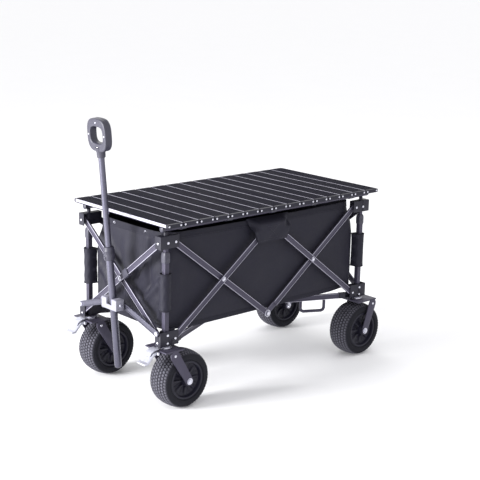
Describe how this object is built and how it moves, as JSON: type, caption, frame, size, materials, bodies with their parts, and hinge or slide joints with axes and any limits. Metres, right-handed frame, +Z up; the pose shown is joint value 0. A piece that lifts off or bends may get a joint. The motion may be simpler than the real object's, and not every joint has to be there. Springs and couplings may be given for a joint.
{
  "type": "folding camp wagon",
  "caption": "Gather-folding steel wagon with a cloth bag, swivel front wheels, telescopic pull handle and a slatted table top.",
  "frame": {"origin": "on the ground under the middle of the wagon's bounding box", "axes": "+X to the rear (handle at -X), +Y to the wagon's right, +Z up"},
  "size_m": [0.9984, 0.4654, 0.8356],
  "materials": {
    "frame_steel": "gunmetal powder coat, satin",
    "bracket_nylon": "glass-filled nylon, fine grain",
    "slat_aluminium": "black anodised, ribbed lengthwise",
    "tyre": "treaded rubber, matte",
    "plastic": "moulded, light grain",
    "bag_cloth": "coated woven polyester, slight sheen",
    "zinc": "zinc plated"
  },
  "bodies": {
    "root": {"post_lower_tube_fl": "frame_steel", "lower_bracket_fl": "bracket_nylon", "bag": "bag_cloth"},
    "link_rising_front": {"link_rising_front": "frame_steel"},
    "link_falling_front": {"link_falling_front": "frame_steel"},
    "post_fr": {"post_lower_tube_fr": "frame_steel", "lower_bracket_fr": "bracket_nylon"},
    "top_fr": {"post_upper_tube_fr": "frame_steel", "upper_bracket_fr": "bracket_nylon"},
    "link_front_rising_left": {"link_front_rising_left": "frame_steel"},
    "link_front_falling_left": {"link_front_falling_left": "frame_steel"},
    "link_rear_falling_left": {"link_rear_falling_left": "frame_steel"},
    "link_rear_rising_left": {"link_rear_rising_left": "frame_steel"},
    "post_rl": {"post_lower_tube_rl": "frame_steel", "lower_bracket_rl": "bracket_nylon", "wheel_fork_rl": "frame_steel"},
    "top_rl": {"post_upper_tube_rl": "frame_steel", "upper_bracket_rl": "bracket_nylon"},
    "top_fl": {"post_upper_tube_fl": "frame_steel", "upper_bracket_fl": "bracket_nylon"},
    "link_front_rising_right": {"link_front_rising_right": "frame_steel"},
    "link_front_falling_right": {"link_front_falling_right": "frame_steel"},
    "link_rear_falling_right": {"link_rear_falling_right": "frame_steel"},
    "link_rear_rising_right": {"link_rear_rising_right": "frame_steel"},
    "post_rr": {"post_lower_tube_rr": "frame_steel", "lower_bracket_rr": "bracket_nylon", "wheel_fork_rr": "frame_steel"},
    "top_rr": {"post_upper_tube_rr": "frame_steel", "upper_bracket_rr": "bracket_nylon"},
    "link_rising_rear": {"link_rising_rear": "frame_steel"},
    "link_falling_rear": {"link_falling_rear": "frame_steel"},
    "floor_bar_fl": {"floor_bar_fl": "frame_steel"},
    "floor_bar_rl": {"floor_bar_rl": "frame_steel", "floor_foot_loop_rl": "frame_steel"},
    "floor_bar_fr": {"floor_bar_fr": "frame_steel"},
    "floor_bar_rr": {"floor_bar_rr": "frame_steel", "floor_foot_loop_rr": "frame_steel"},
    "floor_hub": {"floor_hub": "bracket_nylon"},
    "swivel_fl": {"wheel_fork_fl": "frame_steel"},
    "brake_fl": {"brake_pedal_fl": "zinc"},
    "wheel_fl": {"tyre_fl": "tyre", "rim_fl": "plastic"},
    "wheel_rl": {"tyre_rl": "tyre", "rim_rl": "plastic"},
    "swivel_fr": {"wheel_fork_fr": "frame_steel"},
    "brake_fr": {"brake_pedal_fr": "zinc"},
    "wheel_fr": {"tyre_fr": "tyre", "rim_fr": "plastic"},
    "wheel_rr": {"tyre_rr": "tyre", "rim_rr": "plastic"},
    "handle_arm_left": {"handle_arm_left": "frame_steel"},
    "handle_arm_right": {"handle_arm_right": "frame_steel"},
    "handle_block": {"handle_block": "bracket_nylon"},
    "handle_pole": {"handle_lower_tube": "frame_steel", "handle_collar": "plastic"},
    "handle_slide": {"handle_upper_tube": "frame_steel", "handle_grip": "plastic"},
    "table": {"table_top": "slat_aluminium", "table_rail_left": "frame_steel", "table_rail_right": "frame_steel"}
  },
  "joints": [
    {"name": "frame_fold", "type": "hinge", "parent": "root", "child": "link_front_rising_left", "pos_m": [-0.3639, -0.18625, 0.215], "axis": [0, -1, 0], "range_deg": [0, 35.4], "deforming": ["bag"]},
    {"name": "link_front_falling_left_pivot", "type": "hinge", "parent": "link_front_rising_left", "child": "link_front_falling_left", "pos_m": [-0.17765, -0.18625, 0.3575], "axis": [0, -1, 0], "range_deg": [-71.8, 1]},
    {"name": "link_rear_falling_left_pivot", "type": "hinge", "parent": "link_front_rising_left", "child": "link_rear_falling_left", "pos_m": [0.0086, -0.18625, 0.5], "axis": [0, -1, 0], "range_deg": [-71.8, 1]},
    {"name": "link_rear_rising_left_pivot", "type": "hinge", "parent": "link_rear_falling_left", "child": "link_rear_rising_left", "pos_m": [0.19485, -0.18625, 0.3575], "axis": [0, -1, 0], "range_deg": [-1, 71.8]},
    {"name": "post_rl_pivot", "type": "hinge", "parent": "link_rear_falling_left", "child": "post_rl", "pos_m": [0.3811, -0.18625, 0.215], "axis": [0, -1, 0], "range_deg": [-1, 36.4]},
    {"name": "top_rl_pivot", "type": "hinge", "parent": "link_rear_rising_left", "child": "top_rl", "pos_m": [0.3811, -0.18625, 0.5], "axis": [0, -1, 0], "range_deg": [-36.4, 1]},
    {"name": "top_fl_pivot", "type": "hinge", "parent": "link_front_falling_left", "child": "top_fl", "pos_m": [-0.3639, -0.18625, 0.5], "axis": [0, -1, 0], "range_deg": [-1, 36.4]},
    {"name": "link_rising_front_pivot", "type": "hinge", "parent": "root", "child": "link_rising_front", "pos_m": [-0.3929, -0.18625, 0.215], "axis": [1, 0, 0], "range_deg": [-1, 36.4]},
    {"name": "link_falling_front_pivot", "type": "hinge", "parent": "link_rising_front", "child": "link_falling_front", "pos_m": [-0.3929, 0, 0.3575], "axis": [1, 0, 0], "range_deg": [-71.8, 1]},
    {"name": "post_fr_pivot", "type": "hinge", "parent": "link_falling_front", "child": "post_fr", "pos_m": [-0.3929, 0.18625, 0.215], "axis": [1, 0, 0], "range_deg": [-1, 36.4]},
    {"name": "top_fr_pivot", "type": "hinge", "parent": "link_rising_front", "child": "top_fr", "pos_m": [-0.3929, 0.18625, 0.5], "axis": [1, 0, 0], "range_deg": [-36.4, 1]},
    {"name": "link_front_rising_right_pivot", "type": "hinge", "parent": "post_fr", "child": "link_front_rising_right", "pos_m": [-0.3639, 0.18625, 0.215], "axis": [0, -1, 0], "range_deg": [-1, 36.4]},
    {"name": "link_front_falling_right_pivot", "type": "hinge", "parent": "link_front_rising_right", "child": "link_front_falling_right", "pos_m": [-0.17765, 0.18625, 0.3575], "axis": [0, -1, 0], "range_deg": [-71.8, 1]},
    {"name": "link_rear_falling_right_pivot", "type": "hinge", "parent": "link_front_rising_right", "child": "link_rear_falling_right", "pos_m": [0.0086, 0.18625, 0.5], "axis": [0, -1, 0], "range_deg": [-71.8, 1]},
    {"name": "link_rear_rising_right_pivot", "type": "hinge", "parent": "link_rear_falling_right", "child": "link_rear_rising_right", "pos_m": [0.19485, 0.18625, 0.3575], "axis": [0, -1, 0], "range_deg": [-1, 71.8]},
    {"name": "post_rr_pivot", "type": "hinge", "parent": "link_rear_falling_right", "child": "post_rr", "pos_m": [0.3811, 0.18625, 0.215], "axis": [0, -1, 0], "range_deg": [-1, 36.4]},
    {"name": "top_rr_pivot", "type": "hinge", "parent": "link_rear_rising_right", "child": "top_rr", "pos_m": [0.3811, 0.18625, 0.5], "axis": [0, -1, 0], "range_deg": [-36.4, 1]},
    {"name": "link_rising_rear_pivot", "type": "hinge", "parent": "post_rl", "child": "link_rising_rear", "pos_m": [0.4101, -0.18625, 0.215], "axis": [1, 0, 0], "range_deg": [-1, 36.4]},
    {"name": "link_falling_rear_pivot", "type": "hinge", "parent": "link_rising_rear", "child": "link_falling_rear", "pos_m": [0.4101, 0, 0.3575], "axis": [1, 0, 0], "range_deg": [-71.8, 1]},
    {"name": "floor_bar_fl_pivot", "type": "hinge", "parent": "root", "child": "floor_bar_fl", "pos_m": [-0.3359, -0.17225, 0.2055], "axis": [0.4472, -0.8944, 0], "range_deg": [-1, 83.54]},
    {"name": "floor_bar_rl_pivot", "type": "hinge", "parent": "post_rl", "child": "floor_bar_rl", "pos_m": [0.3531, -0.17225, 0.2055], "axis": [0.4472, 0.8944, 0], "range_deg": [-1, 83.54]},
    {"name": "floor_bar_fr_pivot", "type": "hinge", "parent": "post_fr", "child": "floor_bar_fr", "pos_m": [-0.3359, 0.17225, 0.2055], "axis": [-0.4472, -0.8944, 0], "range_deg": [-1, 83.54]},
    {"name": "floor_bar_rr_pivot", "type": "hinge", "parent": "post_rr", "child": "floor_bar_rr", "pos_m": [0.3531, 0.17225, 0.2055], "axis": [-0.4472, 0.8944, 0], "range_deg": [-1, 83.54]},
    {"name": "floor_hub_pivot", "type": "hinge", "parent": "floor_bar_fl", "child": "floor_hub", "pos_m": [-0.06116, -0.03488, 0.1995], "axis": [0.4472, -0.8944, 0], "range_deg": [-83.54, 1]},
    {"name": "handle_arm_left_pivot", "type": "hinge", "parent": "root", "child": "handle_arm_left", "pos_m": [0.0086, -0.18625, 0.238], "axis": [1, 0, 0], "range_deg": [-1, 58.07]},
    {"name": "handle_arm_right_pivot", "type": "hinge", "parent": "post_fr", "child": "handle_arm_right", "pos_m": [0.0086, 0.18625, 0.238], "axis": [1, 0, 0], "range_deg": [-58.07, 1]},
    {"name": "handle_block_pivot", "type": "hinge", "parent": "handle_arm_left", "child": "handle_block", "pos_m": [0.0086, -0.022, 0.288], "axis": [1, 0, 0], "range_deg": [-58.07, 1]},
    {"name": "handle_tilt", "type": "hinge", "parent": "handle_block", "child": "handle_pole", "pos_m": [-0.4393, 0, 0.288], "axis": [0, -1, 0], "range_deg": [0, 24]},
    {"name": "handle_extend", "type": "slide", "parent": "handle_pole", "child": "handle_slide", "axis": [-0.0872, 0, 0.9962], "range_m": [-0.258, 0]},
    {"name": "swivel_fl_turn", "type": "hinge", "parent": "root", "child": "swivel_fl", "pos_m": [-0.3929, -0.18025, 0.1905], "axis": [0, 0, 1], "continuous": true},
    {"name": "swivel_fr_turn", "type": "hinge", "parent": "post_fr", "child": "swivel_fr", "pos_m": [-0.3929, 0.18025, 0.1905], "axis": [0, 0, 1], "continuous": true},
    {"name": "wheel_fl_spin", "type": "hinge", "parent": "swivel_fl", "child": "wheel_fl", "pos_m": [-0.3349, -0.18025, 0.0865], "axis": [0, 1, 0], "continuous": true},
    {"name": "wheel_rl_spin", "type": "hinge", "parent": "post_rl", "child": "wheel_rl", "pos_m": [0.4131, -0.18025, 0.0865], "axis": [0, 1, 0], "continuous": true},
    {"name": "wheel_fr_spin", "type": "hinge", "parent": "swivel_fr", "child": "wheel_fr", "pos_m": [-0.3349, 0.18025, 0.0865], "axis": [0, 1, 0], "continuous": true},
    {"name": "wheel_rr_spin", "type": "hinge", "parent": "post_rr", "child": "wheel_rr", "pos_m": [0.4131, 0.18025, 0.0865], "axis": [0, 1, 0], "continuous": true},
    {"name": "brake_fl_press", "type": "hinge", "parent": "swivel_fl", "child": "brake_fl", "pos_m": [-0.4309, -0.18025, 0.1815], "axis": [0, -1, 0], "range_deg": [0, 16]},
    {"name": "brake_fr_press", "type": "hinge", "parent": "swivel_fr", "child": "brake_fr", "pos_m": [-0.4309, 0.18025, 0.1815], "axis": [0, -1, 0], "range_deg": [0, 16]},
    {"name": "table_lift", "type": "slide", "parent": "top_fl", "child": "table", "axis": [0, 0, 1], "range_m": [0, 0.3]}
  ],
  "couplings": [
    {"joint": "link_front_falling_left_pivot", "follows": "frame_fold", "ratio": -2},
    {"joint": "link_rear_falling_left_pivot", "follows": "frame_fold", "ratio": -2},
    {"joint": "link_rear_rising_left_pivot", "follows": "frame_fold", "ratio": 2},
    {"joint": "post_rl_pivot", "follows": "frame_fold", "ratio": 1},
    {"joint": "top_rl_pivot", "follows": "frame_fold", "ratio": -1},
    {"joint": "top_fl_pivot", "follows": "frame_fold", "ratio": 1},
    {"joint": "link_rising_front_pivot", "follows": "frame_fold", "ratio": 1},
    {"joint": "link_falling_front_pivot", "follows": "frame_fold", "ratio": -2},
    {"joint": "post_fr_pivot", "follows": "frame_fold", "ratio": 1},
    {"joint": "top_fr_pivot", "follows": "frame_fold", "ratio": -1},
    {"joint": "link_front_rising_right_pivot", "follows": "frame_fold", "ratio": 1},
    {"joint": "link_front_falling_right_pivot", "follows": "frame_fold", "ratio": -2},
    {"joint": "link_rear_falling_right_pivot", "follows": "frame_fold", "ratio": -2},
    {"joint": "link_rear_rising_right_pivot", "follows": "frame_fold", "ratio": 2},
    {"joint": "post_rr_pivot", "follows": "frame_fold", "ratio": 1},
    {"joint": "top_rr_pivot", "follows": "frame_fold", "ratio": -1},
    {"joint": "link_rising_rear_pivot", "follows": "frame_fold", "ratio": 1},
    {"joint": "link_falling_rear_pivot", "follows": "frame_fold", "ratio": -2},
    {"joint": "floor_bar_fl_pivot", "follows": "frame_fold", "ratio": 2.3316},
    {"joint": "floor_bar_rl_pivot", "follows": "frame_fold", "ratio": 2.3316},
    {"joint": "floor_bar_fr_pivot", "follows": "frame_fold", "ratio": 2.3316},
    {"joint": "floor_bar_rr_pivot", "follows": "frame_fold", "ratio": 2.3316},
    {"joint": "floor_hub_pivot", "follows": "frame_fold", "ratio": -2.3316},
    {"joint": "handle_arm_left_pivot", "follows": "frame_fold", "ratio": 1.6122},
    {"joint": "handle_arm_right_pivot", "follows": "frame_fold", "ratio": -1.6122},
    {"joint": "handle_block_pivot", "follows": "frame_fold", "ratio": -1.6122}
  ]
}
